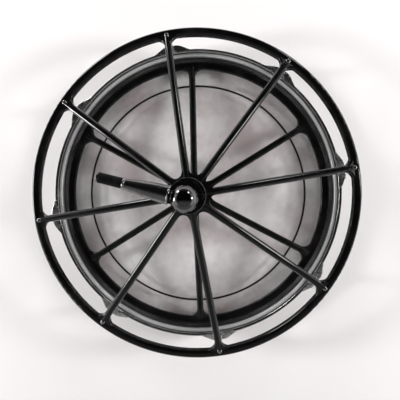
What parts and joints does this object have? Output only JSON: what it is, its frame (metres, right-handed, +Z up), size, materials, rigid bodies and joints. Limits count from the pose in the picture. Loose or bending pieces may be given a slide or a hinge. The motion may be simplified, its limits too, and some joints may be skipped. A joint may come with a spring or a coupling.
{
  "type": "rotary tuned frame drum",
  "caption": "Shell-less rotary-tuned drum lying head down: open black spider frames, chrome hoop, clear head, central screw spindle with ball knob and tuning lever.",
  "frame": {"origin": "centre of the ring on which the playing-side rim of the counterhoop rests, on the spindle axis; everything stands above Z = 0", "axes": "+Z up along the spindle, from the playing head towards the ball knob; +X and +Y across the drum, the tuning lever pointing close to -X"},
  "size_m": [0.3948, 0.3948, 0.1987],
  "materials": {
    "black_gloss_paint": "gloss black stoved paint on an aluminium casting",
    "black_satin_paint": "satin black paint on an aluminium casting",
    "blackened_steel": "oil-blackened steel",
    "hoop_chrome": "chromed sheet steel",
    "rod_steel": "bright zinc plated steel",
    "bare_aluminium": "drawn, semi bright",
    "clear_film": "clear polyester film",
    "stripe_black": "thin dark laminate",
    "bearing_bronze": "oiled bronze",
    "bearing_steel": "ground hardened steel",
    "mirror_chrome": "polished chrome",
    "smoked_chrome": "dark nickel plate",
    "grip_rubber": "smooth black sleeve"
  },
  "bodies": {
    "tension_frame": {"tension_spider": "black_gloss_paint", "thread_bush": "blackened_steel", "bush_screws": "blackened_steel", "counterhoop": "hoop_chrome", "tension_rods": "rod_steel", "rod_washers": "rod_steel", "flesh_hoop": "bare_aluminium", "head_film": "clear_film", "stripe_ring": "stripe_black"},
    "bearing_frame": {"bearing_spider": "black_satin_paint", "journal_bush": "bearing_bronze", "thrust_race_lower": "bearing_steel", "thrust_balls": "bearing_steel", "thrust_cage": "bearing_bronze"},
    "spindle": {"spindle": "rod_steel", "thrust_race_upper": "bearing_steel", "end_washer": "rod_steel", "end_screw": "blackened_steel", "lock_nut": "blackened_steel", "knob": "mirror_chrome", "knob_screw": "blackened_steel", "lever_rod": "rod_steel", "lever_neck": "blackened_steel", "lever_collar": "mirror_chrome", "lever_shank": "smoked_chrome", "lever_ferrule": "mirror_chrome", "grip_sleeve": "grip_rubber", "grip_cap": "bare_aluminium"}
  },
  "joints": [
    {"name": "head_press", "type": "slide", "parent": "tension_frame", "child": "bearing_frame", "axis": [0, 0, 1], "range_m": [-0.0025, 0.00125], "deforming": ["head_film", "stripe_ring"]},
    {"name": "spindle_turn", "type": "hinge", "parent": "bearing_frame", "child": "spindle", "pos_m": [0, 0, 0.1], "axis": [0, 0, 1], "range_deg": [-360, 180]}
  ],
  "couplings": [
    {"joint": "spindle_turn", "follows": "head_press", "rad_per_m": 2513.3}
  ]
}
